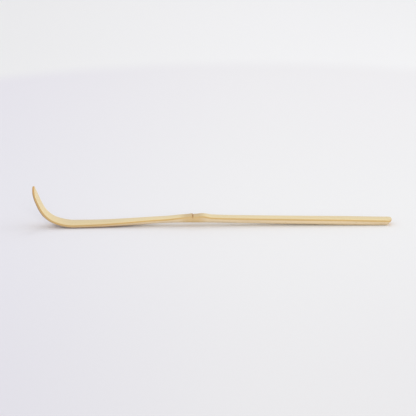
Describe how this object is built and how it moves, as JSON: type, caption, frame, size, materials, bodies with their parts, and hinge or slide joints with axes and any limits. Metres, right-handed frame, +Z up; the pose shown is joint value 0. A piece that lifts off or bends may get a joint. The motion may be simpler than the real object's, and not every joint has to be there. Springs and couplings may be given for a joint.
{
  "type": "tea scoop",
  "caption": "Slim bamboo scoop for powdered tea: a carved strip with its end bent up to a narrow point, a node in the middle and a straight handle.",
  "frame": {"origin": "on the surface the scoop lies on, under the middle of its length and width", "axes": "+X along the strip towards the tail of the handle, +Y across the strip, +Z up, away from the surface"},
  "size_m": [0.18, 0.0092, 0.0212],
  "materials": {
    "bamboo": "bare white bamboo, knife-cut and lightly polished, satin"
  },
  "bodies": {
    "root": {"bamboo_scoop": "bamboo"}
  },
  "joints": []
}
